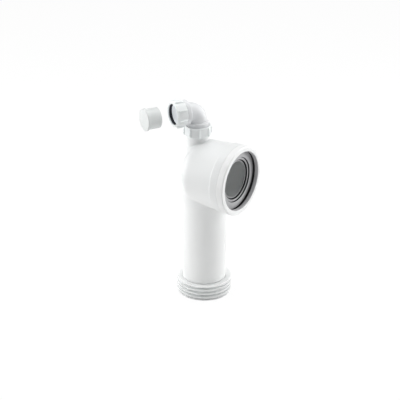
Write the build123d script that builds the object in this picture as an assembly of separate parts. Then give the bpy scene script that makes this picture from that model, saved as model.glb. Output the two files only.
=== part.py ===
from build123d import *
import math
import os

os.makedirs("parts", exist_ok=True)

# All lengths are in millimetres and all angles in degrees.
# The origin is the centre of the foot, +Z runs up the pipe and +X out of the pan socket.

# Running gaps between pieces that move or are pushed together
turning_gap = 0.3
press_gap = 0.05

# Upright spigot pipe and the bend above it
pipe_foot_radius = 44.5
pipe_head_radius = 46.0
pipe_wall = 3.4
bend_throat = 2.0

# Head: a domed drum that flares out to the pan socket
socket_height = 271.0
socket_reach = 88.0
head_back_depth = 40.0
head_flare = 4.2
head_wall = 3.4

# Seal housing at the mouth of the socket
housing_radius = 71.3
housing_wall = 4.1
housing_step = 1.0
housing_rise = 1.7
stop_reach = 4.7
stop_length = 3.0

# Retaining ring that closes the housing
ring_length = 14.0
ring_skirt = 1.6
ring_lip = 2.4
ring_lip_reach = 9.7
ring_edge = 1.6

# Grey inlet seal, with its places measured inwards from the mouth
nose_lip = 1.2
nose_setback = 0.3
front_band = 8.0
sleeve_wall = 2.6
fin_root_depth = 14.0
fin_root_pitch = 5.2
fin_root = 2.8
fin_tip = 1.6
fin_holes = [46.8, 41.6, 37.3]
fin_rakes = [3.0, 5.8, 8.2]
back_groove = 1.2
back_flange = 2.6
back_flange_reach = 7.2

# White outlet seal on the foot of the pipe
outlet_seat_step = 1.5
outlet_sleeve_wall = 3.4
outlet_fin_radius = 56.5
outlet_fin_pitch = 8.3
outlet_fin_count = 4
outlet_fin_tip = 2.4
outlet_fin_root = 3.6
foot_rim = 2.4
foot_setback = 1.5
foot_lip = 2.2
foot_lip_reach = 2.8
foot_edge = 1.0
foot_slope = 0.6

# Boss stub on the head, which takes the swivel elbow
boss_x = -19.5
boss_wall = 3.7
boss_edge = 1.0

# Swivel elbow: a quarter bend with a threaded socket on each end
elbow_turn = -118.6
elbow_radius = 19.5
elbow_wall = 3.0
elbow_throat = 1.5
thread_radius = 24.2
thread_gap = 0.4
thread_edge = 0.8
thread_wall = 2.2

# Lower end of the elbow, with its lengths in order from the bend
lower_neck = 0.6
lower_slope = 2.0
lower_collar = 8.2
lower_collar_wall = 3.4
lower_stop_depth = 2.1
neck_rise = 0.5
neck_margin = 1.0

# Waste end of the elbow, with its lengths in order from the bend
side_neck = 3.0
side_slope = 3.5
side_collar = 2.5
side_collar_rise = 0.7
side_stop_depth = 0.9

# Ribbed compression nuts, one on each end of the elbow
nut_height = 22.4
nut_wall = 1.6
nut_rib_height = 3.1
nut_rib_width = 2.6
nut_rib_rise = 3.2
nut_rib_fall = 2.2
nut_rib_corner = 2.2
nut_rib_count = 8
nut_face = 1.6
nut_edge = 1.4
boss_nut_lift = 9.2
boss_nut_cover = 1.0
waste_nut_setback = 3.3
waste_nut_turn = 12.5

# Rubber rings and slip washers inside the nuts
washer_thickness = 1.5
washer_gap = 0.3
seal_ring_play = 0.2
seal_ring_edge = 0.9
boss_ring_height = 4.8
waste_ring_length = 5.4
waste_ring_reach = 0.9
waste_washer_reach = 0.4

# Blanking plug, drawn out of the waste nut
plug_wall = 2.4
plug_end_gap = 2.0
plug_flange = 5.0
plug_flange_reach = 2.0
plug_edge = 0.8
plug_draw = 57.6

# Pipe and outlet seal, worked out from the sizes above
outlet_seat_radius = pipe_foot_radius - outlet_seat_step
foot_bore_radius = outlet_seat_radius - foot_lip_reach
outlet_foot_radius = outlet_fin_radius - foot_setback
outlet_seal_height = outlet_fin_count * outlet_fin_pitch
bend_radius = pipe_head_radius + bend_throat
bend_start = socket_height - bend_radius

# Head and inlet seal, with the places along the socket measured from the pipe
last_fin_depth = fin_root_depth + (len(fin_holes) - 1) * fin_root_pitch
seal_length = last_fin_depth + fin_root + back_groove + back_flange
seat_start = socket_reach - seal_length
housing_start = seat_start - housing_step
flare_radius = housing_radius - housing_rise
head_radius = flare_radius - head_flare
housing_bore_radius = housing_radius - housing_wall
stop_radius = housing_bore_radius - stop_reach
ring_mouth_radius = housing_radius - ring_lip_reach
nose_radius = ring_mouth_radius - nose_lip
back_flange_radius = housing_bore_radius - back_flange_reach

# Boss and elbow, with the places on each end measured from the elbow's centre
entry_radius = thread_radius - thread_wall
boss_radius = entry_radius - turning_gap
boss_bore_radius = boss_radius - boss_wall
neck_bore_radius = boss_bore_radius + neck_rise
lower_collar_radius = neck_bore_radius + lower_collar_wall
side_collar_radius = thread_radius + side_collar_rise
elbow_bore_radius = elbow_radius - elbow_wall
elbow_bend_radius = elbow_radius + elbow_throat
neck_start = elbow_bend_radius + neck_margin
lower_slope_start = elbow_bend_radius + lower_neck
lower_collar_start = lower_slope_start + lower_slope
lower_thread_start = lower_collar_start + lower_collar
lower_stop = lower_thread_start + lower_stop_depth
side_slope_start = elbow_bend_radius + side_neck
side_collar_start = side_slope_start + side_slope
side_thread_start = side_collar_start + side_collar
side_stop = side_collar_start + side_stop_depth

# Nuts, with the boss nut standing over the head and the waste nut behind its own mouth
nut_bore_radius = thread_radius + thread_gap
nut_radius = nut_bore_radius + nut_wall
nut_rib_radius = nut_radius + nut_rib_height
nut_rib_root = (nut_bore_radius + nut_radius) / 2
nut_hole_radius = boss_radius + turning_gap
boss_nut_foot = socket_height + head_radius + boss_nut_lift
elbow_height = boss_nut_foot + nut_height + lower_thread_start - boss_nut_cover
boss_top = elbow_height - lower_stop - turning_gap
waste_nut_mouth = side_thread_start + waste_nut_setback + nut_height

# Washers and rings, stacked from the closed face of each nut
seal_ring_radius = thread_radius - seal_ring_play
boss_washer_foot = boss_nut_foot + nut_face + washer_gap
boss_ring_foot = boss_washer_foot + washer_thickness
boss_ring_top = boss_ring_foot + boss_ring_height
lower_end = elbow_height - boss_ring_top - turning_gap
waste_washer_front = waste_nut_mouth - nut_face - washer_gap
waste_ring_front = waste_washer_front - washer_thickness
side_end = waste_ring_front - waste_ring_length
waste_ring_bore_radius = nut_hole_radius - waste_ring_reach
waste_washer_bore_radius = nut_hole_radius - waste_washer_reach

# Blanking plug, which stops short of the elbow's shoulder when it is pushed in
plug_radius = waste_ring_bore_radius - turning_gap
plug_flange_radius = plug_radius + plug_flange_reach
plug_length = waste_nut_mouth + turning_gap - side_stop - plug_end_gap

# Directions and centres
up = Vector(0, 0, 1)
socket_centre = Vector(0, 0, socket_height)
socket_axis = Vector(1, 0, 0)
boss_centre = Vector(boss_x, 0, 0)
elbow_centre = Vector(boss_x, 0, elbow_height)
waste_axis = Vector(math.cos(math.radians(elbow_turn)), math.sin(math.radians(elbow_turn)), 0)
waste_side = up.cross(waste_axis)


def turned(centre, axis, side, outline):
    """A solid of revolution: the outline lists places along the axis and radii."""
    points = [centre + axis * along + side * radius for along, radius in outline]
    return revolve(make_face(Polyline(*points, close=True)), Axis(centre, axis), 360)


def upright(centre, outline):
    return turned(centre, up, Vector(1, 0, 0), outline)


def level(outline):
    return turned(socket_centre, socket_axis, up, outline)


def along_waste(outline):
    return turned(elbow_centre, waste_axis, up, outline)


def quarter_bend(centre, radius, turn_radius, towards):
    """A quarter turn of round bar from straight up to level, ending towards the given side."""
    start = Plane(origin=centre, x_dir=towards, z_dir=up) * Circle(radius)
    pivot = Axis(centre + towards * turn_radius, up.cross(towards))
    return revolve(start, pivot, 90)


def domed_drum(inset):
    """The head without its housing: a half-ellipsoid back and a cone that flares forward."""
    depth, radius = head_back_depth - inset, head_radius - inset
    front = flare_radius - inset
    slope = (front - radius) / housing_start
    meet = math.atan2(radius, depth * slope)
    start = socket_centre - socket_axis * depth
    join = socket_centre - socket_axis * depth * math.cos(meet) + up * radius * math.sin(meet)
    dome_plane = Plane(origin=socket_centre, x_dir=-socket_axis, z_dir=Vector(0, 1, 0))
    dome = dome_plane * EllipticalCenterArc((0, 0), depth, radius, 0, arc_size=math.degrees(meet))
    end = socket_centre + socket_axis * housing_start
    rest = Polyline(join, end + up * front, end, start)
    return revolve(make_face([dome, rest]), Axis(socket_centre, socket_axis), 360)


def connector_body():
    """The one moulding: pipe, bend, head, seal housing and boss stub."""
    seat_top = outlet_seal_height
    pipe = upright(Vector(0, 0, 0), [
        (foot_lip, 0), (foot_lip, outlet_seat_radius), (seat_top, outlet_seat_radius),
        (seat_top, pipe_foot_radius), (bend_start, pipe_head_radius), (bend_start, 0)])
    pipe_bore = upright(Vector(0, 0, 0), [
        (0, 0), (0, foot_bore_radius), (seat_top, pipe_foot_radius - pipe_wall),
        (bend_start, pipe_head_radius - pipe_wall), (bend_start, 0)])
    bend_foot = Vector(0, 0, bend_start)
    bend = quarter_bend(bend_foot, pipe_head_radius, bend_radius, socket_axis)
    bend_bore = quarter_bend(bend_foot, pipe_head_radius - pipe_wall, bend_radius, socket_axis)
    recess_radius = housing_radius - ring_skirt
    front = socket_reach - ring_lip
    housing = level([
        (housing_start - stop_length, 0), (housing_start - stop_length, flare_radius - head_wall / 2),
        (housing_start, flare_radius), (housing_start + housing_step, housing_radius),
        (socket_reach - ring_length, housing_radius), (socket_reach - ring_length, recess_radius),
        (front, recess_radius), (front, 0)])
    housing_bore = level([
        (0, 0), (0, stop_radius), (seat_start, stop_radius), (seat_start, housing_bore_radius),
        (socket_reach, housing_bore_radius), (socket_reach, 0)])
    drum_void = domed_drum(head_wall) & level([
        (-head_back_depth, 0), (-head_back_depth, flare_radius),
        (housing_start - stop_length, flare_radius), (housing_start - stop_length, 0)])
    boss_root = socket_height
    boss = upright(boss_centre, [
        (boss_root, 0), (boss_root, boss_radius), (boss_top - boss_edge, boss_radius),
        (boss_top, boss_radius - boss_edge), (boss_top, 0)])
    boss_bore = upright(boss_centre, [
        (boss_root, 0), (boss_root, boss_bore_radius), (boss_top, boss_bore_radius), (boss_top, 0)])
    shell = pipe + bend + domed_drum(0) + housing + boss
    return shell - pipe_bore - bend_bore - drum_void - housing_bore - boss_bore


def seal_retaining_ring():
    """Snaps over the housing and holds the inlet seal in."""
    skirt_bore = housing_radius - ring_skirt + press_gap
    back = socket_reach - ring_length
    lip_back = socket_reach - ring_lip
    return level([
        (back, skirt_bore), (back, housing_radius), (socket_reach - ring_edge, housing_radius),
        (socket_reach, housing_radius - ring_edge), (socket_reach, ring_mouth_radius),
        (lip_back, ring_mouth_radius), (lip_back, skirt_bore)])


def inlet_seal():
    """Finned push-in seal: a front band, three flap fins and a back flange on one sleeve."""
    outer = housing_bore_radius - press_gap
    groove = outer - sleeve_wall
    lip_back = ring_lip + press_gap
    outline = [(nose_setback, nose_radius), (nose_setback, ring_mouth_radius - press_gap),
               (lip_back, ring_mouth_radius - press_gap), (lip_back, outer)]
    flange_front = seal_length - back_flange
    outline += [(seal_length, outer), (seal_length, back_flange_radius),
                (flange_front, back_flange_radius), (flange_front, groove)]
    places = list(enumerate(zip(fin_holes, fin_rakes)))
    for number, (hole, rake) in reversed(places):
        root = fin_root_depth + number * fin_root_pitch
        tip = root - rake
        outline += [(root + fin_root, groove), (tip + fin_tip, hole), (tip, hole), (root, groove)]
    outline += [(front_band, groove), (front_band, nose_radius)]
    return level([(socket_reach - depth, radius) for depth, radius in outline])


def outlet_seal():
    """Finned sleeve stretched over the foot of the pipe, with a lip turned in under its end."""
    seat = outlet_seat_radius + press_gap
    sleeve = seat + outlet_sleeve_wall
    outline = [(foot_lip - press_gap, seat), (foot_lip - press_gap, foot_bore_radius), (0, foot_bore_radius),
               (0, outlet_foot_radius - foot_edge), (foot_edge, outlet_foot_radius),
               (foot_rim, outlet_foot_radius), (foot_rim + foot_slope, sleeve)]
    top = outlet_seal_height
    for number in reversed(range(outlet_fin_count)):
        crest = top - number * outlet_fin_pitch
        outline += [(crest - outlet_fin_root, sleeve), (crest - outlet_fin_tip, outlet_fin_radius),
                    (crest, outlet_fin_radius)]
        if number:
            outline += [(crest, sleeve)]
    outline += [(top, seat)]
    return upright(Vector(0, 0, 0), outline)


def threaded_end(axis, side, slope_start, collar_start, collar_radius, thread_start, end):
    """Outside of one straight end of the elbow: a slope to a collar, then the thread, left plain."""
    return turned(elbow_centre, axis, side, [
        (elbow_bend_radius, 0), (elbow_bend_radius, elbow_radius), (slope_start, elbow_radius),
        (collar_start, collar_radius), (thread_start, collar_radius), (thread_start, thread_radius),
        (end - thread_edge, thread_radius), (end, thread_radius - thread_edge), (end, 0)])


def swivel_elbow():
    """Quarter bend with a threaded socket on each end."""
    bend_foot = elbow_centre - up * elbow_bend_radius
    outside = quarter_bend(bend_foot, elbow_radius, elbow_bend_radius, waste_axis)
    outside += threaded_end(-up, waste_side, lower_slope_start, lower_collar_start,
                            lower_collar_radius, lower_thread_start, lower_end)
    outside += threaded_end(waste_axis, up, side_slope_start, side_collar_start,
                            side_collar_radius, side_thread_start, side_end)
    inside = quarter_bend(bend_foot, elbow_bore_radius, elbow_bend_radius, waste_axis)
    inside += turned(elbow_centre, -up, waste_side, [
        (elbow_bend_radius, 0), (elbow_bend_radius, elbow_bore_radius), (neck_start, elbow_bore_radius),
        (neck_start, neck_bore_radius), (lower_stop, neck_bore_radius), (lower_stop, entry_radius),
        (lower_end, entry_radius), (lower_end, 0)])
    inside += along_waste([
        (elbow_bend_radius, 0), (elbow_bend_radius, elbow_bore_radius), (side_stop, elbow_bore_radius),
        (side_stop, entry_radius), (side_end, entry_radius), (side_end, 0)])
    return outside - inside


def compression_nut(centre, axis, side):
    """Ribbed nut whose closed face is at the centre and whose open end lies along the axis."""
    shell = turned(centre, axis, side, [
        (0, nut_hole_radius), (0, nut_radius - nut_edge), (nut_edge, nut_radius),
        (nut_height, nut_radius), (nut_height, nut_bore_radius), (nut_face, nut_bore_radius),
        (nut_face, nut_hole_radius)])
    rib_outline = [(nut_edge, nut_rib_root), (nut_edge + nut_rib_rise, nut_rib_radius),
                   (nut_height - nut_rib_fall, nut_rib_radius),
                   (nut_height, nut_rib_radius - nut_rib_corner), (nut_height, nut_rib_root)]
    across = axis.cross(side).normalized()
    start = centre - across * nut_rib_width / 2
    points = [start + axis * along + side * radius for along, radius in rib_outline]
    rib = extrude(make_face(Polyline(*points, close=True)), amount=nut_rib_width, dir=across)
    ribs = [rib.rotate(Axis(centre, axis), number * 360 / nut_rib_count) for number in range(nut_rib_count)]
    return shell + ribs


def boss_nut():
    return compression_nut(boss_centre + up * boss_nut_foot, up, Vector(1, 0, 0))


def waste_nut():
    mouth = elbow_centre + waste_axis * waste_nut_mouth
    tilt = math.radians(waste_nut_turn)
    side = up * math.cos(tilt) + waste_side * math.sin(tilt)
    return compression_nut(mouth, -waste_axis, side)


def boss_packing():
    """Slip washer and rubber ring on the boss, stacked inside the boss nut."""
    inner = boss_radius + press_gap
    washer = upright(boss_centre, [
        (boss_washer_foot, inner), (boss_washer_foot, thread_radius),
        (boss_ring_foot, thread_radius), (boss_ring_foot, inner)])
    ring = upright(boss_centre, [
        (boss_ring_foot, inner), (boss_ring_foot, seal_ring_radius),
        (boss_ring_top - seal_ring_edge, seal_ring_radius),
        (boss_ring_top, seal_ring_radius - seal_ring_edge), (boss_ring_top, inner)])
    return washer, ring


def waste_packing():
    """Slip washer and dark rubber ring behind the face of the waste nut."""
    washer = along_waste([
        (waste_ring_front, waste_washer_bore_radius), (waste_ring_front, thread_radius),
        (waste_washer_front, thread_radius), (waste_washer_front, waste_washer_bore_radius)])
    ring = along_waste([
        (side_end, waste_ring_bore_radius), (side_end, seal_ring_radius - seal_ring_edge),
        (side_end + seal_ring_edge, seal_ring_radius), (waste_ring_front, seal_ring_radius),
        (waste_ring_front, waste_ring_bore_radius)])
    return washer, ring


def blanking_plug():
    """Hollow flanged plug, shown drawn straight out of the waste nut."""
    seat = waste_nut_mouth + turning_gap + plug_draw
    face = seat + plug_flange
    end = seat - plug_length
    return along_waste([
        (end, plug_radius - plug_wall), (end, plug_radius - plug_edge), (end + plug_edge, plug_radius),
        (seat, plug_radius), (seat, plug_flange_radius), (face - plug_edge, plug_flange_radius),
        (face, plug_flange_radius - plug_edge),
        (face, 0), (face - plug_wall, 0), (face - plug_wall, plug_radius - plug_wall)])


boss_slip_washer, boss_seal_ring = boss_packing()
waste_slip_washer, waste_seal_ring = waste_packing()
nodes = {
    "connector_body": connector_body(),
    "seal_retaining_ring": seal_retaining_ring(),
    "inlet_seal": inlet_seal(),
    "outlet_seal": outlet_seal(),
    "swivel_elbow": swivel_elbow(),
    "boss_nut": boss_nut(),
    "boss_slip_washer": boss_slip_washer,
    "boss_seal_ring": boss_seal_ring,
    "waste_nut": waste_nut(),
    "waste_slip_washer": waste_slip_washer,
    "waste_seal_ring": waste_seal_ring,
    "blanking_plug": blanking_plug(),
}
for name, shape in nodes.items():
    export_step(shape, f"parts/{name}.step")
    print(name, round(shape.volume), "mm3", len(shape.solids()), "solid")
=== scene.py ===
import math

import bmesh
import bpy
import numpy as np
from mathutils import Matrix, Vector

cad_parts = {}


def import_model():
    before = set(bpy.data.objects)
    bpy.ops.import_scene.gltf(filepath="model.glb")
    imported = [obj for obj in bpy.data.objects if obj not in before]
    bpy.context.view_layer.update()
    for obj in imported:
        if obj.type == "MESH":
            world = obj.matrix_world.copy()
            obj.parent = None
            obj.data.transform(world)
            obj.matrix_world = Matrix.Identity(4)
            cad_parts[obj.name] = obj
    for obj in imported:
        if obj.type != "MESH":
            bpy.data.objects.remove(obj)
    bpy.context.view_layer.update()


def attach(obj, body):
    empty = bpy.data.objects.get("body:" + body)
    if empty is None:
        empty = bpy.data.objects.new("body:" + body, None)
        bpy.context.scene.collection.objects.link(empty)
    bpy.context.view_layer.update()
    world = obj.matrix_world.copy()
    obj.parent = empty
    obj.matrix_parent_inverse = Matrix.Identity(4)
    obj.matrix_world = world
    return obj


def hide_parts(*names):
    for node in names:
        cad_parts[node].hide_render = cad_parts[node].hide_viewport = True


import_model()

# The object's lengths are in millimetres and its angles in degrees. A size that the part's source
# has too goes by the same name here.
# make_object() turns lengths into metres. The floor, the lamps and the camera are placed in metres.
MM = 0.001

# Running gaps between pieces that move or are pushed together
turning_gap = 0.3
press_gap = 0.05

# Upright spigot pipe and the bend above it
pipe_foot_radius = 44.5
pipe_head_radius = 46.0
pipe_wall = 3.4
bend_throat = 2.0
route_end = 50.0

# Head: a domed drum that flares out to the pan socket, with a wider fillet to the bend at its back
socket_height = 271.0
socket_reach = 88.0
head_back_depth = 40.0
head_flare = 4.2
head_wall = 3.4
head_fillet = 2.2
back_fillet = 7.0
back_fillet_start = 12.0
back_fillet_run = 44.0

# Seal housing at the mouth of the socket
housing_radius = 71.3
housing_wall = 4.1
housing_step = 1.0
housing_rise = 1.7
housing_slope = 0.4
housing_end_gap = 0.1
stop_reach = 4.7
stop_length = 3.0
stop_shoulder_radius = 66.1

# Retaining ring that closes the housing
ring_length = 14.0
ring_skirt = 1.6
ring_lip = 2.4
ring_lip_reach = 9.7
ring_bevel_length = 1.8
ring_bevel_fall = 1.9
ring_middle = 8.0

# Grey inlet seal, with its places measured inwards from the mouth
nose_lip = 1.2
nose_setback = 0.3
front_band = 8.0
sleeve_wall = 2.6
fin_root_depth = 14.0
fin_root_pitch = 5.2
fin_root = 2.8
fin_tip = 1.6
fin_holes = [46.8, 41.6, 37.3]
fin_rakes = [3.0, 5.8, 8.2]
fin_front_corners = [1.4, 1.0, 1.0]
fin_back_corners = [1.0, 1.0, 1.2]
back_flange = 2.6
back_flange_reach = 7.2
seal_length = 31.0

# White outlet seal on the foot of the pipe
outlet_seat_step = 1.5
outlet_sleeve_wall = 3.4
outlet_fin_radius = 56.5
outlet_fin_pitch = 8.3
outlet_fin_count = 4
outlet_fin_tip = 3.0
outlet_fin_root = 3.8
foot_rim = 2.4
foot_setback = 1.5
foot_lip = 2.2
foot_lip_reach = 2.8
foot_slope = 0.6

# Boss stub on the head, which takes the swivel elbow
boss_x = -19.5
boss_radius = 21.7
boss_wall = 3.7
boss_top = 364.6
boss_root = 252.0
boss_bore_root = 290.0
boss_fillet = 3.0

# Swivel elbow, with the places on each end measured from its centre
elbow_height = 398.8
elbow_turn = -118.6
elbow_radius = 18.7
elbow_bore_radius = 16.5
elbow_bend_radius = 21.0
entry_radius = 22.0
thread_radius = 24.2
lower_end = 44.7
lower_stop = 33.9
lower_thread_start = 31.8
lower_collar_start = 23.6
lower_slope_start = 21.6
lower_collar_radius = 21.9
neck_start = 23.0
neck_bore_radius = 18.5
side_slope_start = 21.4
side_collar_start = 25.0
side_collar_radius = 25.4
side_stop = 28.4
side_thread_start = 32.5
side_end = 46.9

# Threads, of which the elbow's runs out at both ends
thread_pitch = 3.0
elbow_thread_depth = 0.9
elbow_thread_first = 33.0
elbow_thread_last = 46.0
thread_run_in = 1.5
thread_run_out = 2.0
crest_band = 0.3
nut_thread_depth = 0.6
nut_thread_first = 3.0
nut_thread_last = 21.5

# Ribbed compression nuts, with the places on each nut measured from its closed face
nut_height = 22.4
nut_bore_radius = 24.6
nut_radius = 26.2
nut_bevel_length = 1.3
nut_bevel_fall = 1.1
boss_nut_face = 1.6
boss_nut_hole = 22.0
boss_nut_foot = 345.6
waste_nut_face = 2.6
waste_nut_hole = 21.4
waste_nut_mouth = 55.7
waste_nut_turn = 12.5
rib_count = 8
rib_half_width = 1.3
rib_first = 1.7
rib_last = 22.3
rib_root_radius = 25.0
rib_crest_radius = 29.3
rib_toe_radius = 25.9
rib_heel_radius = 26.5
rib_crest_first = 3.4
rib_crest_last = 14.9

# Rubber rings and slip washers inside the nuts
washer_thickness = 1.5
small_bore_radius = 21.75
seal_ring_radius = 24.0
seal_ring_edge = 0.9
boss_washer_foot = 347.5
boss_ring_height = 4.8
waste_washer_front = 52.8
waste_washer_bore_radius = 21.6
waste_ring_bore_radius = 21.1

# Blanking plug, drawn out of the waste nut
plug_radius = 20.8
plug_wall = 2.4
plug_length = 25.6
plug_flange = 5.0
plug_flange_radius = 22.7
plug_draw = 57.6

# Sizes worked out from the ones above
bend_radius = pipe_head_radius + bend_throat
bend_start = socket_height - bend_radius
pipe_taper = pipe_head_radius - pipe_foot_radius
outlet_seat_radius = pipe_foot_radius - outlet_seat_step
foot_bore_radius = outlet_seat_radius - foot_lip_reach
outlet_seal_height = outlet_fin_count * outlet_fin_pitch
seat_start = socket_reach - seal_length
housing_start = seat_start - housing_step
flare_radius = housing_radius - housing_rise
head_radius = flare_radius - head_flare
housing_bore_radius = housing_radius - housing_wall
ring_mouth_radius = housing_radius - ring_lip_reach
sleeve_radius = housing_bore_radius - press_gap
sleeve_bore_radius = sleeve_radius - sleeve_wall
waste_ring_front = waste_washer_front - washer_thickness

# Centres and directions
foot_centre = np.array([0.0, 0.0, 0.0])
up = np.array([0.0, 0.0, 1.0])
socket_centre = np.array([0.0, 0.0, socket_height])
socket_axis = np.array([1.0, 0.0, 0.0])
boss_centre = np.array([boss_x, 0.0, 0.0])
elbow_centre = np.array([boss_x, 0.0, elbow_height])
waste_axis = np.array([math.cos(math.radians(elbow_turn)), math.sin(math.radians(elbow_turn)), 0.0])
waste_side = np.cross(up, waste_axis)


# Mesh helpers
def make_object(name, verts, faces, normals=None, sharp_angle=35):
    """An object from points in millimetres and faces as lists of point numbers."""
    mesh = bpy.data.meshes.new(name)
    mesh.from_pydata((np.asarray(verts) * MM).tolist(), [], faces)
    mesh.validate()
    obj = bpy.data.objects.new(name, mesh)
    bpy.context.scene.collection.objects.link(obj)
    if normals is None:
        work = bmesh.new()
        work.from_mesh(mesh)
        bmesh.ops.remove_doubles(work, verts=work.verts, dist=1e-6)
        bmesh.ops.recalc_face_normals(work, faces=work.faces)
        work.to_mesh(mesh)
        work.free()
    mesh.polygons.foreach_set("use_smooth", [True] * len(mesh.polygons))
    if normals is None:
        mesh.set_sharp_from_angle(angle=math.radians(sharp_angle))
    else:
        mesh.normals_split_custom_set_from_vertices(normals)
    return obj


def rounded(outline, steps=4):
    """A closed outline of (along, radius, rounding) with each corner rounded."""
    points = []
    count = len(outline)
    for k in range(count):
        here = np.array(outline[k][:2], float)
        size = outline[k][2] if len(outline[k]) > 2 else 0
        before = np.array(outline[k - 1][:2], float) - here
        after = np.array(outline[(k + 1) % count][:2], float) - here
        a, b = np.linalg.norm(before), np.linalg.norm(after)
        if size <= 0 or min(a, b) < 1e-6:
            points.append(here)
            continue
        before, after = before / a, after / b
        half = math.acos(float(np.clip(before @ after, -1, 1))) / 2
        reach = min(size / max(math.tan(half), 0.05), 0.48 * a, 0.48 * b)
        first, last = here + before * reach, here + after * reach
        for s in range(steps + 1):
            t = s / steps
            points.append((1 - t) ** 2 * first + 2 * t * (1 - t) * here + t * t * last)
    return points


def divided(points, step):
    """The closed outline with its long edges cut into steps."""
    result = []
    for k, here in enumerate(points):
        after = points[(k + 1) % len(points)]
        pieces = max(1, int(np.linalg.norm(after - here) / step))
        result += [here + (after - here) * s / pieces for s in range(pieces)]
    return result


def ring_faces(rings, around, closed=True):
    """Quads between neighbouring rings of points, the last one joined to the first."""
    faces = []
    for k in range(rings if closed else rings - 1):
        base, other = k * around, ((k + 1) % rings) * around
        for j in range(around):
            m = (j + 1) % around
            faces.append([base + j, base + m, other + m, other + j])
    return faces


def lathe(name, centre, axis, outline, around=192, wave=None):
    """A solid of revolution about an axis, with rounded corners."""
    points = rounded(outline)
    side = np.cross(axis, up) if abs(axis[2]) < 0.9 else socket_axis
    side = side / np.linalg.norm(side)
    across = np.cross(axis, side)
    theta = np.arange(around) * 2 * math.pi / around
    spoke = np.outer(np.cos(theta), side) + np.outer(np.sin(theta), across)
    verts = []
    for along, radius in points:
        r = np.full(around, radius)
        if wave is not None:
            r = r + wave(along, radius, theta)
        verts.append(centre + axis * along + spoke * r[:, None])
    return make_object(name, np.concatenate(verts), ring_faces(len(points), around))


def join(name, objects, sharp_angle=35):
    """One object from several that overlap or touch, cut into one skin where the solver can."""
    base, others = objects[0], objects[1:]
    for k, other in enumerate(others):
        cut = base.modifiers.new(f"join{k}", "BOOLEAN")
        cut.operation = "UNION"
        cut.solver = "EXACT"
        cut.object = other
    bpy.context.view_layer.update()
    shape = base.evaluated_get(bpy.context.evaluated_depsgraph_get())
    mesh = bpy.data.meshes.new_from_object(shape)
    base.modifiers.clear()
    base.data = mesh
    for other in others:
        bpy.data.objects.remove(other)
    base.name = name
    mesh.polygons.foreach_set("use_smooth", [True] * len(mesh.polygons))
    mesh.set_sharp_from_angle(angle=math.radians(sharp_angle))
    return base


# The body, as a smooth blend of its forms
def outline_distance(points, x, r):
    """Signed distance from each (x, r) to a closed outline, negative inside."""
    best = np.full(x.shape, 1e9)
    inside = np.zeros(x.shape, bool)
    for k, a in enumerate(points):
        b = points[(k + 1) % len(points)]
        dx, dr = b[0] - a[0], b[1] - a[1]
        length = dx * dx + dr * dr
        if length < 1e-12:
            continue
        t = np.clip(((x - a[0]) * dx + (r - a[1]) * dr) / length, 0, 1)
        best = np.minimum(best, (x - a[0] - t * dx) ** 2 + (r - a[1] - t * dr) ** 2)
        if abs(dr) > 1e-12:
            crosses = (a[1] > r) != (b[1] > r)
            inside ^= crosses & (x < a[0] + (r - a[1]) / dr * dx)
    return np.where(inside, -1, 1) * np.sqrt(best)


class Turned:
    """Distance to a solid of revolution about the socket, looked up in a fine table."""

    def __init__(self, outline, low=-60, high=100, reach=92, step=0.25):
        points = rounded(outline, 6)
        self.low, self.step = low, step
        self.x = np.arange(low, high, step)
        self.r = np.arange(0, reach, step)
        grid_x, grid_r = np.meshgrid(self.x, self.r, indexing="ij")
        self.table = outline_distance(points, grid_x, grid_r).astype(np.float32)

    def __call__(self, along, radius):
        """Distance at places given along the socket axis and out from it."""
        i = np.clip((along - self.low) / self.step, 0, len(self.x) - 1.001)
        j = np.clip(radius / self.step, 0, len(self.r) - 1.001)
        a, b = i.astype(np.int32), j.astype(np.int32)
        u, v = i - a, j - b
        t = self.table
        return ((1 - u) * ((1 - v) * t[a, b] + v * t[a, b + 1])
                + u * ((1 - v) * t[a + 1, b] + v * t[a + 1, b + 1]))


def blended(a, b, fillet):
    """Union of two distances with a fillet of about that size."""
    h = np.maximum(fillet - np.abs(a - b), 0) / fillet
    return np.minimum(a, b) - h * h * fillet / 4


def dome_outline(inset, steps=24):
    """Back and flare of the head as an outline about the socket axis."""
    depth, radius = head_back_depth - inset, head_radius - inset
    points = []
    for k in range(steps + 1):
        t = math.pi / 2 * k / steps
        points.append((-depth * math.cos(t), radius * math.sin(t)))
    return points + [(housing_start, flare_radius - inset)]


def head_outline():
    """Outside of the head and its housing, closed below the socket axis."""
    ring_start, end = socket_reach - ring_length, socket_reach - ring_lip - housing_end_gap
    ring_seat_radius, below = housing_radius - ring_skirt, -5
    return dome_outline(0) + [
        (seat_start, housing_radius, 0.5), (ring_start - housing_slope, housing_radius, 0.5),
        (ring_start, ring_seat_radius, 0.3), (end, ring_seat_radius, 0.4), (end, below),
        (-head_back_depth, below)]


def head_void_outline():
    """Inside of the head, with the stop that the inlet seal rests against."""
    stop_start, stop_radius = housing_start - stop_length, housing_bore_radius - stop_reach
    past_mouth, below = socket_reach + 8, -5
    return [(x, r) for x, r in dome_outline(head_wall) if x < stop_start] + [
        (stop_start, stop_shoulder_radius), (stop_start, stop_radius), (seat_start, stop_radius),
        (seat_start, housing_bore_radius), (past_mouth, housing_bore_radius), (past_mouth, below),
        (head_wall - head_back_depth, below)]


head_solid = Turned(head_outline())
head_void = Turned(head_void_outline())


def route_distance(x, y, z):
    """Distance from the middle line of the pipe, which bends forward into the head."""
    upright = np.hypot(x, y)
    bend = np.hypot(np.hypot(x - bend_radius, z - bend_start) - bend_radius, y)
    level = np.hypot(z - socket_height, y)
    return np.where(z < bend_start, upright, np.where(x < bend_radius, bend, level))


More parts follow.
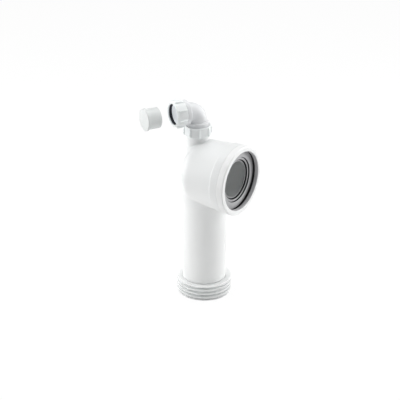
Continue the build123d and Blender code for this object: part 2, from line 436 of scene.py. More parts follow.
def body_distance(x, y, z):
    """Signed distance to the connector body."""
    from_socket = np.hypot(y, z - socket_height)
    from_boss = np.hypot(x - boss_x, y)
    route = route_distance(x, y, z)
    rise = pipe_taper * np.clip((z - outlet_seal_height) / (bend_start - outlet_seal_height), 0, 1)
    radius = np.where(z < outlet_seal_height, outlet_seat_radius, pipe_foot_radius + rise)
    pipe = np.maximum(np.maximum(route - radius, foot_lip - z), x - route_end)
    back = np.clip((back_fillet_start - x) / back_fillet_run, 0, 1)
    fillet = head_fillet + back_fillet * back * back * (3 - 2 * back)
    shape = blended(pipe, head_solid(x, from_socket), fillet)
    boss = np.maximum(np.maximum(from_boss - boss_radius, z - boss_top), boss_root - z)
    shape = blended(shape, boss, boss_fillet)
    bore_step = pipe_foot_radius - pipe_wall - foot_bore_radius
    bore = foot_bore_radius + bore_step * np.clip(z / outlet_seal_height, 0, 1) + rise
    void = np.minimum(np.maximum(route - bore, x - route_end), head_void(x, from_socket))
    boss_bore = np.maximum(from_boss - (boss_radius - boss_wall), boss_bore_root - z)
    return np.maximum(shape, -np.minimum(void, boss_bore))


def crossings(grid, lines, axis):
    """Grid edges along an axis that the surface cuts, the cuts, and whether each starts inside."""
    lower, upper = [slice(None)] * 3, [slice(None)] * 3
    lower[axis], upper[axis] = slice(None, -1), slice(1, None)
    a, b = grid[tuple(lower)], grid[tuple(upper)]
    where = np.argwhere((a < 0) != (b < 0))
    va, vb = a[tuple(where.T)], b[tuple(where.T)]
    points = np.stack([lines[d][where[:, d]] for d in range(3)], 1)
    points[:, axis] += va / (va - vb) * np.diff(lines[axis])[where[:, axis]]
    return where, points, va < 0


def beside(where, axis, shifts, shape):
    """The cell beside each edge that lies back by the shifts, and whether the grid has it."""
    cell = where.copy()
    for d, shift in zip([d for d in range(3) if d != axis], shifts):
        cell[:, d] -= shift
    return cell, (cell >= 0).all(1) & (cell < shape).all(1)


def edge_quads(number, where, axis, inside_first):
    """The quad of cells round each cut edge, wound to face outwards."""
    shape = np.array(number.shape)
    corners = []
    for shifts in ((0, 0), (1, 0), (1, 1), (0, 1)):
        cell, known = beside(where, axis, shifts, shape)
        corners.append(np.where(known, number[tuple(np.clip(cell, 0, shape - 1).T)], -1))
    quads = np.stack(corners, 1)
    flip = inside_first if axis != 1 else ~inside_first
    quads[~flip] = quads[~flip][:, ::-1]
    return quads[(quads >= 0).all(1)]


def slope(distance, points, step):
    """How fast the distance grows along x, y and z at each point."""
    result = np.empty_like(points)
    for d in range(3):
        offset = np.zeros(3)
        offset[d] = step
        result[:, d] = distance(*(points + offset).T) - distance(*(points - offset).T)
    return result / (2 * step)


def surface(name, distance, xs, ys, zs):
    """A skin of quads on the zero level of a distance, pulled onto it, with its true normals."""
    rounds, longest_move, least_slope = 3, 0.8, 0.2
    pull_step, normal_step = 0.05, 0.2
    lines = (xs, ys, zs)
    grid = distance(xs[:, None, None], ys[None, :, None], zs[None, None, :]).astype(np.float32)
    shape = np.array(grid.shape) - 1
    total = np.zeros((*shape, 3), np.float32)
    hits = np.zeros(shape, np.int32)
    cuts = [crossings(grid, lines, axis) for axis in range(3)]
    for axis, (where, points, _) in enumerate(cuts):
        for shifts in ((0, 0), (0, 1), (1, 0), (1, 1)):
            cell, known = beside(where, axis, shifts, shape)
            at = tuple(cell[known].T)
            for d in range(3):
                np.add.at(total[..., d], at, points[known, d])
            np.add.at(hits, at, 1)
    used = hits > 0
    number = np.full(hits.shape, -1, np.int64)
    number[used] = np.arange(used.sum())
    verts = (total[used] / hits[used][:, None]).astype(np.float64)
    for _ in range(rounds):
        g = slope(distance, verts, pull_step)
        size = np.maximum((g * g).sum(1), least_slope)
        move = -(distance(*verts.T) / size)[:, None] * g
        verts += np.clip(move, -longest_move, longest_move)
    normals = slope(distance, verts, normal_step)
    normals /= np.maximum(np.linalg.norm(normals, axis=1), 1e-9)[:, None]
    faces = [edge_quads(number, where, axis, first) for axis, (where, _, first) in enumerate(cuts)]
    return make_object(name, verts, np.concatenate(faces).tolist(), normals)


def spaced(*stops):
    """Grid lines from (start, step) pairs, ending at the last start."""
    lines = []
    for (start, step), (end, _) in zip(stops, stops[1:]):
        count = max(1, round((end - start) / step))
        lines += [start + (end - start) * k / count for k in range(count)]
    return np.array(lines + [stops[-1][0]])


def connector_body():
    """The body's skin, with the smallest cells at the housing and the longest on the plain pipe."""
    smallest, small, long, longest = 1.1, 1.55, 3.1, 6.2
    back, flare, mouth, side = -52.1, 52.3, 88.7, 73.7
    foot, pipe, bend, boss, top = -1.3, 36.1, 188.3, 346.3, 367.3
    xs = spaced((back, small), (flare, smallest), (mouth, 0))
    ys = spaced((-side, small), (side, 0))
    zs = spaced((foot, long), (pipe, longest), (bend, small), (boss, long), (top, 0))
    return surface("body_moulding", body_distance, xs, ys, zs)


# Seals, ring and plug
def seal_ring():
    """White ring over the front of the housing, with its lip over the edge of the grey seal."""
    bore, start = housing_radius - ring_skirt + press_gap, socket_reach - ring_length
    lip_back, mouth = socket_reach - ring_lip, socket_reach
    return lathe("housing_ring", socket_centre, socket_axis, [
        (start, bore, 0.2), (start, housing_radius, 0.35), (socket_reach - ring_middle, housing_radius),
        (mouth - ring_bevel_length, housing_radius, 1.6), (mouth, housing_radius - ring_bevel_fall, 1.4),
        (mouth, ring_mouth_radius, 0.9), (lip_back, ring_mouth_radius, 0.2), (lip_back, bore, 0.1)], 256)


def inlet_seal():
    """Grey sleeve with a front band and three fins that rake towards the mouth."""
    nose_radius, neck_radius = ring_mouth_radius - nose_lip, ring_mouth_radius - press_gap
    shoulder, flange = ring_lip + press_gap, seal_length - back_flange
    flange_radius = housing_bore_radius - back_flange_reach
    outline = [
        (nose_setback, nose_radius, 0.7), (nose_setback, neck_radius, 0.2), (shoulder, neck_radius, 0.1),
        (shoulder, sleeve_radius, 0.3), (seal_length, sleeve_radius, 0.3), (seal_length, flange_radius, 0.5),
        (flange, flange_radius, 0.5), (flange, sleeve_bore_radius, 0.8)]
    for number in (2, 1, 0):
        root, hole = fin_root_depth + number * fin_root_pitch, fin_holes[number]
        tip = root - fin_rakes[number]
        outline += [(root + fin_root, sleeve_bore_radius, fin_back_corners[number]),
                    (tip + fin_tip, hole, 0.75), (tip, hole, 0.75),
                    (root, sleeve_bore_radius, fin_front_corners[number])]
    outline += [(front_band, sleeve_bore_radius, 1.0), (front_band, nose_radius, 0.9)]
    points = [(socket_reach - depth, radius, corner) for depth, radius, corner in outline]
    return lathe("pan_seal", socket_centre, socket_axis, points, 256)


def outlet_seal():
    """White sleeve on the pipe's foot, with a rim below and four fins of one width."""
    bore, lip = outlet_seat_radius + press_gap, foot_lip - press_gap
    sleeve, rim_radius = bore + outlet_sleeve_wall, outlet_fin_radius - foot_setback
    outline = [(lip, bore, 0.2), (lip, foot_bore_radius, 0.4), (0, foot_bore_radius, 0.5),
               (0, rim_radius, 1.1), (foot_rim, rim_radius, 0.6), (foot_rim + foot_slope, sleeve, 0.5)]
    for number in range(outlet_fin_count):
        crest = (number + 1) * outlet_fin_pitch
        outline += [(crest - outlet_fin_root, sleeve, 0.8), (crest - outlet_fin_tip, outlet_fin_radius, 0.8),
                    (crest, outlet_fin_radius, 0.8)]
        if number < outlet_fin_count - 1:
            outline += [(crest, sleeve, 0.6)]
    outline += [(outlet_seal_height, bore, 0.5)]
    return lathe("soil_seal", foot_centre, up, outline, 256)


def blanking_plug():
    """Hollow flanged plug, drawn straight out of the waste nut."""
    seat = waste_nut_mouth + turning_gap + plug_draw
    end, face, bore = seat - plug_length, seat + plug_flange, plug_radius - plug_wall
    inner_face, under_flange = face - plug_wall, seat - 0.01
    return lathe("plug_cap", elbow_centre, waste_axis, [
        (end, bore, 0.3), (end, plug_radius, 0.9), (under_flange, plug_radius, 0.3),
        (seat, plug_flange_radius, 0.5), (face, plug_flange_radius, 1.2), (face, 0), (inner_face, 0),
        (inner_face, bore, 0.8)], 160)


# Elbow, nuts and their rings
def elbow_point(s):
    """Middle line of the elbow: from its lower end up, round the bend and out to the waste end."""
    radius = elbow_bend_radius
    straight = lower_end - radius
    arc = radius * math.pi / 2
    if s < straight:
        return elbow_centre - up * (lower_end - s), up
    if s < straight + arc:
        a = (s - straight) / radius
        pivot = elbow_centre + waste_axis * radius - up * radius
        return (pivot - waste_axis * radius * math.cos(a) + up * radius * math.sin(a),
                up * math.cos(a) + waste_axis * math.sin(a))
    return elbow_centre + waste_axis * (radius + s - straight - arc), waste_axis


def low(place):
    """How far along the middle line a place on the elbow's lower leg lies."""
    return lower_end - place


def far(place):
    """How far along the middle line a place on the elbow's waste leg lies."""
    return lower_end - elbow_bend_radius + elbow_bend_radius * math.pi / 2 - elbow_bend_radius + place


def elbow_outline():
    """Outside and inside of the elbow as places along its middle line and radii."""
    outside = [
        (low(lower_end), entry_radius, 0.3), (low(lower_end), thread_radius, 0.8),
        (low(lower_thread_start), thread_radius, 0.3), (low(lower_thread_start), lower_collar_radius, 0.4),
        (low(lower_collar_start), lower_collar_radius, 0.9), (low(lower_slope_start), elbow_radius, 1.2),
        (far(side_slope_start), elbow_radius, 1.2), (far(side_collar_start), side_collar_radius, 0.9),
        (far(side_thread_start), side_collar_radius, 0.5), (far(side_thread_start), thread_radius, 0.2),
        (far(side_end), thread_radius, 0.8)]
    inside = [
        (far(side_end), entry_radius, 0.3), (far(side_stop), entry_radius, 0.4),
        (far(side_stop), elbow_bore_radius, 0.5), (low(neck_start), elbow_bore_radius, 0.4),
        (low(neck_start), neck_bore_radius, 0.4), (low(lower_stop), neck_bore_radius, 0.3),
        (low(lower_stop), entry_radius, 0.4)]
    return outside + inside


def thread_divided(points):
    """The elbow's outline with three times the points on its threaded stretch."""
    first, last, crest = far(side_thread_start) - 0.1, far(elbow_thread_last), thread_radius - crest_band
    result = []
    for k, here in enumerate(points):
        after = points[(k + 1) % len(points)]
        threaded = here[1] > crest and after[1] > crest and first < here[0] < last
        pieces = 3 if threaded else 1
        result += [here + (after - here) * s / pieces for s in range(pieces)]
    return result


def swivel_elbow(around=160):
    """The elbow as one skin that runs along its middle line, with a thread cut on its waste end."""
    longest_step = 1.1
    first, last = far(elbow_thread_first), far(elbow_thread_last)
    points = thread_divided(divided(rounded(elbow_outline()), longest_step))
    theta = np.arange(around) * 2 * math.pi / around
    verts = []
    for s, r in points:
        centre, along = elbow_point(s)
        radius = np.full(around, r)
        if abs(r - thread_radius) < crest_band and first < s < last:
            fade = max(min(1, (s - first) / thread_run_in, (last - s) / thread_run_out), 0)
            cut = 0.5 - 0.5 * np.cos(2 * math.pi * (s / thread_pitch) + theta)
            radius = radius - elbow_thread_depth * fade * cut
        spoke = np.outer(np.cos(theta), waste_side) + np.outer(np.sin(theta), np.cross(along, waste_side))
        verts.append(centre + spoke * radius[:, None])
    return make_object("swivel_bend", np.concatenate(verts), ring_faces(len(points), around))


def rib(centre, axis, side, across):
    """One grip rib: its outline with rounded corners, and its own long edges rounded."""
    outline = [(rib_first, rib_root_radius), (rib_first, rib_toe_radius, 0.4),
               (rib_crest_first, rib_crest_radius, 2.0), (rib_crest_last, rib_crest_radius, 5.0),
               (rib_last, rib_heel_radius, 0.6), (rib_last, rib_root_radius)]
    points = [np.array(p) for p in rounded(outline)]
    middle = np.array([(rib_first + rib_last) / 2, rib_root_radius])
    edge = [(rib_half_width, 0.75), (rib_half_width - 0.18, 0.3), (rib_half_width - 0.55, 0.0)]
    layers = []
    for place, inset in [(-place, inset) for place, inset in edge] + edge[::-1]:
        shape = []
        for p in points:
            away = p - middle
            lift = 0 if p[1] < rib_root_radius + 0.01 else inset
            shape.append(p - away / np.linalg.norm(away) * lift)
        layers.append((place, shape))
    verts = [centre + axis * p[0] + side * p[1] + across * place for place, shape in layers for p in shape]
    count = len(points)
    faces = ring_faces(len(layers), count, closed=False)
    faces.append(list(range(count))[::-1])
    faces.append([count * (len(layers) - 1) + k for k in range(count)])
    return verts, faces


def nut_wave(along, radius, theta):
    """Cuts the thread into the nut's bore, and leaves the rest of the nut alone."""
    if abs(radius - nut_bore_radius) > 0.01 or not nut_thread_first < along < nut_thread_last:
        return np.zeros_like(theta)
    half = nut_thread_depth / 2
    return half - half * np.cos(2 * math.pi * along / thread_pitch + theta)


def nut(name, centre, axis, first, face, hole):
    """Ribbed nut with a thread inside, its closed face at the centre."""
    edge_radius = nut_radius - nut_bevel_fall
    start, spacing, count = nut_height - 0.4, 0.6, 31
    bore = [(start - spacing * k, nut_bore_radius) for k in range(1, count + 1)]
    shell = lathe(name + "_shell", centre, axis, [
        (0, hole, 0.5), (0, edge_radius, 1.2), (nut_bevel_length, nut_radius, 1.2),
        (nut_height, nut_radius, 0.5), (nut_height, nut_bore_radius, 0.3), *bore,
        (face, nut_bore_radius, 0.3), (face, hole, 0.3)], 160, nut_wave)
    across = np.cross(axis, first)
    verts, faces = [], []
    for k in range(rib_count):
        a = k * 2 * math.pi / rib_count
        side = first * math.cos(a) + across * math.sin(a)
        v, f = rib(centre, axis, side, np.cross(axis, side))
        faces += [[n + len(verts) for n in face_points] for face_points in f]
        verts += v
    return join(name, [shell, make_object(name + "_ribs", verts, faces)])


def boss_nut():
    """The nut that holds the elbow on the boss, with a rib towards the pan."""
    foot = boss_centre + up * boss_nut_foot
    return nut("lower_nut_shell", foot, up, socket_axis, boss_nut_face, boss_nut_hole)


def waste_nut():
    """The nut on the elbow's level end, which opens towards the elbow."""
    tilt = math.radians(waste_nut_turn)
    first = up * math.cos(tilt) + waste_side * math.sin(tilt)
    mouth = elbow_centre + waste_axis * waste_nut_mouth
    return nut("side_nut_shell", mouth, -waste_axis, first, waste_nut_face, waste_nut_hole)


def small_rings():
    """Washers and rubber rings inside the two nuts."""
    ring_foot = boss_washer_foot + washer_thickness
    ring_top = ring_foot + boss_ring_height
    ring_edge_radius = seal_ring_radius - seal_ring_edge
    lower_washer = lathe("lower_washer", boss_centre, up, [
        (boss_washer_foot, small_bore_radius, 0.2), (boss_washer_foot, thread_radius, 0.2),
        (ring_foot, thread_radius, 0.2), (ring_foot, small_bore_radius, 0.2)], 128)
    lower_ring = lathe("lower_ring", boss_centre, up, [
        (ring_foot, small_bore_radius, 0.2), (ring_foot, seal_ring_radius, 0.3),
        (ring_top - seal_ring_edge, seal_ring_radius, 0.3), (ring_top, ring_edge_radius, 0.3),
        (ring_top, small_bore_radius, 0.3)], 128)
    side_washer = lathe("side_washer", elbow_centre, waste_axis, [
        (waste_ring_front, waste_washer_bore_radius, 0.3), (waste_ring_front, thread_radius, 0.2),
        (waste_washer_front, thread_radius, 0.2), (waste_washer_front, waste_washer_bore_radius, 0.4)], 128)
    side_ring = lathe("side_ring", elbow_centre, waste_axis, [
        (side_end, waste_ring_bore_radius, 0.5), (side_end, ring_edge_radius, 0.2),
        (side_end + seal_ring_edge, seal_ring_radius, 0.2), (waste_ring_front, seal_ring_radius, 0.2),
        (waste_ring_front, waste_ring_bore_radius, 0.6)], 128)
    return lower_washer, lower_ring, side_washer, side_ring


# Shader helpers
def shader(name):
    """A material with one main shader, and the place on the object in metres."""
    material = bpy.data.materials.new(name)
    material.use_nodes = True
    tree = material.node_tree
    tree.nodes.clear()
    out = tree.nodes.new("ShaderNodeOutputMaterial")
    main = tree.nodes.new("ShaderNodeBsdfPrincipled")
    tree.links.new(main.outputs[0], out.inputs[0])
    place = tree.nodes.new("ShaderNodeTexCoord")
    return material, tree, main, place.outputs["Object"]


def noise(tree, place, scale, detail=3, rough=0.55, stretch=None):
    """Noise at that many waves to the metre, stretched along the axes if asked."""
    node = tree.nodes.new("ShaderNodeTexNoise")
    node.inputs["Scale"].default_value = scale
    node.inputs["Detail"].default_value = detail
    node.inputs["Roughness"].default_value = rough
    if stretch is not None:
        mapping = tree.nodes.new("ShaderNodeMapping")
        mapping.inputs["Scale"].default_value = stretch
        tree.links.new(place, mapping.inputs["Vector"])
        place = mapping.outputs[0]
    tree.links.new(place, node.inputs["Vector"])
    return node.outputs["Fac"]


def ramp(tree, value, stops):
    """A colour looked up from a value, given as (position, colour) stops."""
    node = tree.nodes.new("ShaderNodeValToRGB")
    while len(node.color_ramp.elements) < len(stops):
        node.color_ramp.elements.new(0.5)
    for element, (at, colour) in zip(node.color_ramp.elements, stops):
        element.position = at
        element.color = (*colour, 1)
    tree.links.new(value, node.inputs[0])
    return node.outputs[0]


def spread(tree, value, low_end, high_end, out_low, out_high):
    """Maps a value from one range to another, and holds it at both ends."""
    node = tree.nodes.new("ShaderNodeMapRange")
    ends = (low_end, high_end, out_low, out_high)
    for socket, number in zip(("From Min", "From Max", "To Min", "To Max"), ends):
        node.inputs[socket].default_value = number
    tree.links.new(value, node.inputs["Value"])
    return node.outputs[0]


def bumped(tree, main, layers):
    """Stacks bumps, given as (height output, strength, distance in metres)."""
    last = None
    for height, strength, distance in layers:
        node = tree.nodes.new("ShaderNodeBump")
        node.inputs["Strength"].default_value = strength
        node.inputs["Distance"].default_value = distance
        tree.links.new(height, node.inputs["Height"])
        if last is not None:
            tree.links.new(last, node.inputs["Normal"])
        last = node.outputs[0]
    tree.links.new(last, main.inputs["Normal"])


def maths(tree, operation, *values):
    """One sum on outputs and constants."""
    node = tree.nodes.new("ShaderNodeMath")
    node.operation = operation
    for socket, value in zip(node.inputs, values):
        if isinstance(value, bpy.types.NodeSocket):
            tree.links.new(value, socket)
        else:
            socket.default_value = value
    return node.outputs[0]


def mixed(tree, share, first, second):
    """Mixes two colours, each an output or a constant."""
    node = tree.nodes.new("ShaderNodeMix")
    node.data_type = "RGBA"
    tree.links.new(share, node.inputs[0])
    for socket, value in ((node.inputs[6], first), (node.inputs[7], second)):
        if isinstance(value, bpy.types.NodeSocket):
            tree.links.new(value, socket)
        else:
            socket.default_value = (*value, 1)
    return node.outputs[2]


def vector_maths(tree, operation, vector):
    """A node for one sum on vectors, with its first input linked."""
    node = tree.nodes.new("ShaderNodeVectorMath")
    node.operation = operation
    tree.links.new(vector, node.inputs[0])
    return node


def about_axis(tree, place, centre, axis):
    """Distance in millimetres along an axis from a centre, and out from the axis."""
    middle = vector_maths(tree, "SUBTRACT", place)
    middle.inputs[1].default_value = [value * MM for value in centre]
    scaled = vector_maths(tree, "SCALE", middle.outputs[0])
    scaled.inputs["Scale"].default_value = 1 / MM
    reach = vector_maths(tree, "DOT_PRODUCT", scaled.outputs[0])
    reach.inputs[1].default_value = list(axis)
    whole = vector_maths(tree, "DOT_PRODUCT", scaled.outputs[0])
    tree.links.new(scaled.outputs[0], whole.inputs[1])
    along = reach.outputs["Value"]
    out = maths(tree, "SUBTRACT", whole.outputs["Value"], maths(tree, "MULTIPLY", along, along))
    return along, maths(tree, "SQRT", maths(tree, "MAXIMUM", out, 0.0))


# Materials
clean_white = (0.86, 0.87, 0.865)
# The elbow's white is a darker copy of the same white plastic, as painted shade
elbow_shaded_white = (0.70, 0.71, 0.72)
nut_tint = (0.81, 0.84, 0.84)
# The plug's white is a darker copy of the same white plastic, as painted shade
plug_shaded_white = (0.67, 0.69, 0.685)
outlet_tint = (0.85, 0.87, 0.865)
inlet_tint = (0.46, 0.46, 0.47)
ring_tint = (0.008, 0.010, 0.018)
slip_tint = (0.006, 0.012, 0.03)
# The head's greyer white is painted shade
shaded_head_white = (0.77, 0.78, 0.78)
# Painted light inside the elbow's waste end: a paler white and a faint glow
painted_light_bore_white = (0.90, 0.905, 0.91)
painted_bore_glow = (0.9, 0.95, 1, 1)
painted_bore_glow_strength = 0.22
# Painted light on the inlet seal's front band, and painted shadow in its slots
painted_light_band_grey = (0.50, 0.50, 0.51)
painted_slot_shadow = (0.006, 0.006, 0.008)

# Heights between which the body turns greyer, as painted shade on the head
head_shade_from = 200
head_shade_above = 290

# Places along the waste axis where the painted light inside the elbow begins and is full
painted_light_bore_start = 12
painted_light_bore_full = 20
painted_light_socket_start = 27
painted_light_socket_full = 28

# Radii beyond which the seal's groove and the space behind its first two fins get painted shade
groove_shade_radius = 61.5
shade_radii = [45.8, 39.0]
shade_edge = 0.3
shade_start = 0.4
shade_full = 1.0


def moulded_plastic(name, colour, roughness=0.36, flow=(1, 1, 0.2), tones=None):
    """Moulded plastic: slight tone drift, flow marks, fine grain and faint scuffs."""
    material, tree, main, place = shader(name)
    main.inputs["Specular IOR Level"].default_value = 0.45
    main.inputs["Subsurface Weight"].default_value = 0.6
    main.inputs["Subsurface Radius"].default_value = (1, 1, 1)
    main.inputs["Subsurface Scale"].default_value = 0.003
    drift = noise(tree, place, scale=14, detail=3, rough=0.5, stretch=flow)
    darker = tuple(c * 0.965 for c in colour)
    lighter = tuple(min(1, c * 1.015) for c in colour)
    tone = ramp(tree, drift, [(0.3, darker), (0.7, lighter)])
    if tones is not None:
        tone = tones(tree, place, tone, main)
    tree.links.new(tone, main.inputs["Base Color"])
    scuff = noise(tree, place, scale=240, detail=2, rough=0.6, stretch=(0.25, 1, 1))
    rough = spread(tree, scuff, 0.45, 0.8, roughness, roughness + 0.14)
    tree.links.new(rough, main.inputs["Roughness"])
    grain, ripple = noise(tree, place, scale=900, detail=2), noise(tree, place, scale=60, detail=2)
    bumped(tree, main, [(grain, 0.10, 0.0001), (ripple, 0.08, 0.0006)])
    return material


def rubber(name, colour, roughness, bloom, depth=0, tones=None):
    """Moulded rubber: matt, fine grained, with a pale bloom in patches."""
    material, tree, main, place = shader(name)
    main.inputs["Specular IOR Level"].default_value = 0.4
    if depth:
        main.inputs["Subsurface Weight"].default_value = 1
        main.inputs["Subsurface Radius"].default_value = (1, 1, 1)
        main.inputs["Subsurface Scale"].default_value = depth
    patch = noise(tree, place, scale=38, detail=4, rough=0.6)
    darker = tuple(c * (1 - bloom * 0.6) for c in colour)
    lighter = tuple(min(1, c * (1 + bloom)) for c in colour)
    tone = ramp(tree, patch, [(0.32, darker), (0.68, lighter)])
    if tones is not None:
        tone = tones(tree, place, tone, main)
    tree.links.new(tone, main.inputs["Base Color"])
    rough = spread(tree, patch, 0.3, 0.7, roughness - 0.06, roughness + 0.08)
    tree.links.new(rough, main.inputs["Roughness"])
    grain, ripple = noise(tree, place, scale=1300, detail=2), noise(tree, place, scale=120, detail=2)
    bumped(tree, main, [(grain, 0.22, 0.0001), (ripple, 0.10, 0.0004)])
    return material


def height_painted_shade(tree, place, colour, main):
    """Body: a touch greyer towards the head than on the pipe, as painted shade."""
    height, _ = about_axis(tree, place, foot_centre, up)
    return mixed(tree, spread(tree, height, head_shade_from, head_shade_above, 0, 1), colour, shaded_head_white)


def bore_painted_light(tree, place, colour, main):
    """Swivel elbow: painted light on the inside of the waste end, a paler white and a glow that stand in for
    light coming through its thin wall.
    """
    along, radius = about_axis(tree, place, elbow_centre, waste_axis)
    in_socket = spread(tree, radius, entry_radius + 0.2, entry_radius + 0.8, 1, 0)
    past_stop = spread(tree, along, painted_light_socket_start, painted_light_socket_full, 0, 1)
    in_bore = spread(tree, radius, elbow_bore_radius + 0.5, elbow_bore_radius + 1.1, 1, 0)
    past_bend = spread(tree, along, painted_light_bore_start, painted_light_bore_full, 0, 1)
    socket = maths(tree, "MULTIPLY", in_socket, past_stop)
    bore = maths(tree, "MULTIPLY", in_bore, past_bend)
    inside = maths(tree, "MAXIMUM", socket, bore)
    # Painted light: the inside glows though it is no lamp
    main.inputs["Emission Color"].default_value = painted_bore_glow
    strength = maths(tree, "MULTIPLY", inside, painted_bore_glow_strength)
    tree.links.new(strength, main.inputs["Emission Strength"])
    return mixed(tree, inside, colour, painted_light_bore_white)


def fin_painted_light_and_shade(tree, place, colour, main):
    """Inlet seal: painted light on a paler front band, and painted shade in the slots behind the band and
    behind the first two fins.
    """
    along, radius = about_axis(tree, place, socket_centre, socket_axis)
    depth = maths(tree, "SUBTRACT", socket_reach, along)
    # band is the painted light on the front band, dark the painted shade in the slots
    band = spread(tree, depth, front_band - 0.4, front_band, 1, 0)
    behind_band = spread(tree, depth, front_band, front_band + 0.3, 0, 1)
    in_groove = spread(tree, radius, groove_shade_radius - shade_edge, groove_shade_radius + shade_edge, 0, 1)
    dark = maths(tree, "MULTIPLY", behind_band, in_groove)
    for number, reach in enumerate(shade_radii):
        rake = fin_rakes[number] / (sleeve_bore_radius - fin_holes[number])
        start = fin_root_depth + number * fin_root_pitch - rake * sleeve_bore_radius
        front = maths(tree, "MULTIPLY_ADD", radius, rake, start)
        behind = spread(tree, maths(tree, "SUBTRACT", depth, front), shade_start, shade_full, 0, 1)
        outside = spread(tree, radius, reach - shade_edge, reach + shade_edge, 0, 1)
        dark = maths(tree, "MAXIMUM", dark, maths(tree, "MULTIPLY", behind, outside))
    return mixed(tree, dark, mixed(tree, band, colour, painted_light_band_grey), painted_slot_shadow)


def dress(piece, nodes, body, material):
    """Puts a finished piece in the place of its CAD node."""
    piece.data.materials.clear()
    piece.data.materials.append(material)
    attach(piece, body)
    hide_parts(*nodes)


even = (1, 1, 1)
round_the_ring = (0.3, 1, 1)
body_white = moulded_plastic("moulded_white_body", clean_white, tones=height_painted_shade)
ring_white = moulded_plastic("moulded_white_ring", clean_white, roughness=0.33, flow=round_the_ring)
elbow_white = moulded_plastic("moulded_white_elbow", elbow_shaded_white, roughness=0.34, flow=even,
                              tones=bore_painted_light)
nut_white = moulded_plastic("moulded_white_nut", nut_tint, roughness=0.38, flow=even)
plug_white = moulded_plastic("moulded_white_plug", plug_shaded_white, roughness=0.38, flow=even)
soft_white = rubber("soft_white", outlet_tint, roughness=0.5, bloom=0.03, depth=0.01)
soft_grey = rubber("soft_grey", inlet_tint, roughness=0.58, bloom=0.10, tones=fin_painted_light_and_shade)
soft_dark = rubber("soft_dark", ring_tint, roughness=0.5, bloom=0.2)
slip_dark = moulded_plastic("slip_dark", slip_tint, roughness=0.3, flow=even)

dress(connector_body(), ["connector_body"], "connector", body_white)
dress(seal_ring(), ["seal_retaining_ring"], "connector", ring_white)
dress(inlet_seal(), ["inlet_seal"], "connector", soft_grey)
dress(outlet_seal(), ["outlet_seal"], "connector", soft_white)
dress(swivel_elbow(), ["swivel_elbow"], "elbow", elbow_white)
dress(boss_nut(), ["boss_nut"], "lower_nut", nut_white)
dress(waste_nut(), ["waste_nut"], "side_nut", nut_white)
dress(blanking_plug(), ["blanking_plug"], "plug", plug_white)
lower_washer, lower_ring, side_washer, side_ring = small_rings()
dress(lower_washer, ["boss_slip_washer"], "connector", ring_white)
dress(lower_ring, ["boss_seal_ring"], "connector", soft_dark)
dress(side_washer, ["waste_slip_washer"], "elbow", slip_dark)
dress(side_ring, ["waste_seal_ring"], "elbow", soft_dark)


# Floor, light and camera, in metres and watts
camera_azimuth = math.radians(34.1)
camera_elevation = math.radians(25.8)
camera_roll = math.radians(0.5)
camera_distance = 3.0
camera_aside = -0.0102
camera_height = 0.2049
focal_pixels = 1468.5
picture_pixels = 400
sensor_width = 36
view_right = Vector((math.cos(camera_azimuth), math.sin(camera_azimuth), 0))
view_front = Vector((math.sin(camera_azimuth), -math.cos(camera_azimuth), 0))
lamp_aim = Vector((0.02, 0, 0.22))
floor_size = 6.0
floor_level = -0.0004
floor_colour = (0.8, 0.8, 0.8)
floor_glow = 0.9
floor_white = 1.03
studio_level = 0.45


def white_stage(name):
    """A pale floor that reads white to the camera and still takes the object's shadow."""
    material = bpy.data.materials.new(name)
    material.use_nodes = True
    tree = material.node_tree
    tree.nodes.clear()
    out = tree.nodes.new("ShaderNodeOutputMaterial")
    matt = tree.nodes.new("ShaderNodeBsdfDiffuse")
    matt.inputs["Color"].default_value = (*floor_colour, 1)
    light = tree.nodes.new("ShaderNodeEmission")
    light.inputs["Color"].default_value = (1, 1, 1, 1)
    light.inputs["Strength"].default_value = floor_white
    path = tree.nodes.new("ShaderNodeLightPath").outputs
    seen = maths(tree, "MAXIMUM", path["Is Camera Ray"], path["Is Glossy Ray"])
    seen = maths(tree, "MAXIMUM", seen, path["Is Transmission Ray"])
    mix = tree.nodes.new("ShaderNodeMixShader")
    tree.links.new(maths(tree, "MULTIPLY", seen, floor_glow), mix.inputs[0])
    tree.links.new(matt.outputs[0], mix.inputs[1])
    tree.links.new(light.outputs[0], mix.inputs[2])
    tree.links.new(mix.outputs[0], out.inputs[0])
    return material


def floor():
    """A large square just under the object's foot."""
    mesh = bpy.data.meshes.new("floor")
    corners = [(-1, -1), (1, -1), (1, 1), (-1, 1)]
    mesh.from_pydata([(x * floor_size, y * floor_size, floor_level) for x, y in corners], [], [(0, 1, 2, 3)])
    obj = bpy.data.objects.new("floor", mesh)
    bpy.context.scene.collection.objects.link(obj)
    mesh.materials.append(white_stage("pale_floor"))


def background(tree, strength):
    """A white background shader."""
    node = tree.nodes.new("ShaderNodeBackground")
    node.inputs["Color"].default_value = (1, 1, 1, 1)
    node.inputs["Strength"].default_value = strength
    return node.outputs[0]


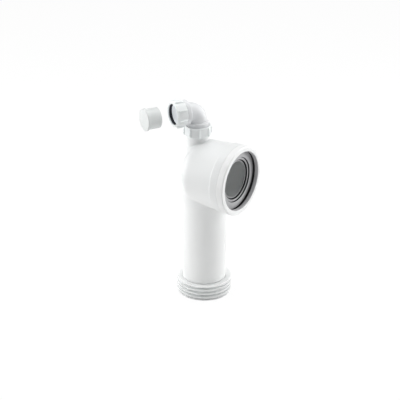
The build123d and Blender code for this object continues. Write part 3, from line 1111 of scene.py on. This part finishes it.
def world():
    """A white studio that the camera sees at full strength and the object at less."""
    scene_world = bpy.data.worlds.new("studio")
    bpy.context.scene.world = scene_world
    scene_world.use_nodes = True
    tree = scene_world.node_tree
    tree.nodes.clear()
    out = tree.nodes.new("ShaderNodeOutputWorld")
    path = tree.nodes.new("ShaderNodeLightPath")
    mix = tree.nodes.new("ShaderNodeMixShader")
    tree.links.new(path.outputs["Is Camera Ray"], mix.inputs[0])
    tree.links.new(background(tree, studio_level), mix.inputs[1])
    tree.links.new(background(tree, 1.0), mix.inputs[2])
    tree.links.new(mix.outputs[0], out.inputs[0])


def softbox(name, right, front, lift, width, height, power):
    """A lamp that faces the object, from so far to the camera's right, towards it and up."""
    place = lamp_aim + view_right * right + view_front * front + Vector((0, 0, lift))
    data = bpy.data.lights.new(name, "AREA")
    data.shape = "RECTANGLE"
    data.size, data.size_y = width, height
    data.energy = power
    obj = bpy.data.objects.new(name, data)
    bpy.context.scene.collection.objects.link(obj)
    obj.location = place
    obj.rotation_euler = (lamp_aim - place).to_track_quat("-Z", "Y").to_euler()


def camera():
    """The photo's view, rolled by the half degree that the photo shows."""
    data = bpy.data.cameras.new("camera")
    data.sensor_fit = "HORIZONTAL"
    data.sensor_width = sensor_width
    data.lens = focal_pixels / picture_pixels * sensor_width
    data.clip_end = 50
    obj = bpy.data.objects.new("camera", data)
    bpy.context.scene.collection.objects.link(obj)
    back = view_front * math.cos(camera_elevation) + Vector((0, 0, math.sin(camera_elevation)))
    level_up = back.cross(view_right)
    right = view_right * math.cos(camera_roll) + level_up * math.sin(camera_roll)
    rolled_up = level_up * math.cos(camera_roll) - view_right * math.sin(camera_roll)
    pose = Matrix((right, rolled_up, back)).transposed().to_4x4()
    pose.translation = Vector((0, 0, camera_height)) + view_right * camera_aside + back * camera_distance
    obj.matrix_world = pose
    bpy.context.scene.camera = obj


floor()
world()
softbox("left_box", right=-1.5, front=-0.3, lift=0.1, width=1.4, height=1.6, power=22.5)
softbox("right_box", right=1.5, front=-0.4, lift=0.1, width=1.4, height=1.6, power=25)
softbox("top_box", right=0, front=-0.2, lift=1.5, width=1.4, height=1.4, power=15)
softbox("front_box", right=-1.4, front=1.2, lift=0.4, width=1.0, height=1.0, power=2.5)
camera()
bpy.context.scene.view_settings.view_transform = "Standard"
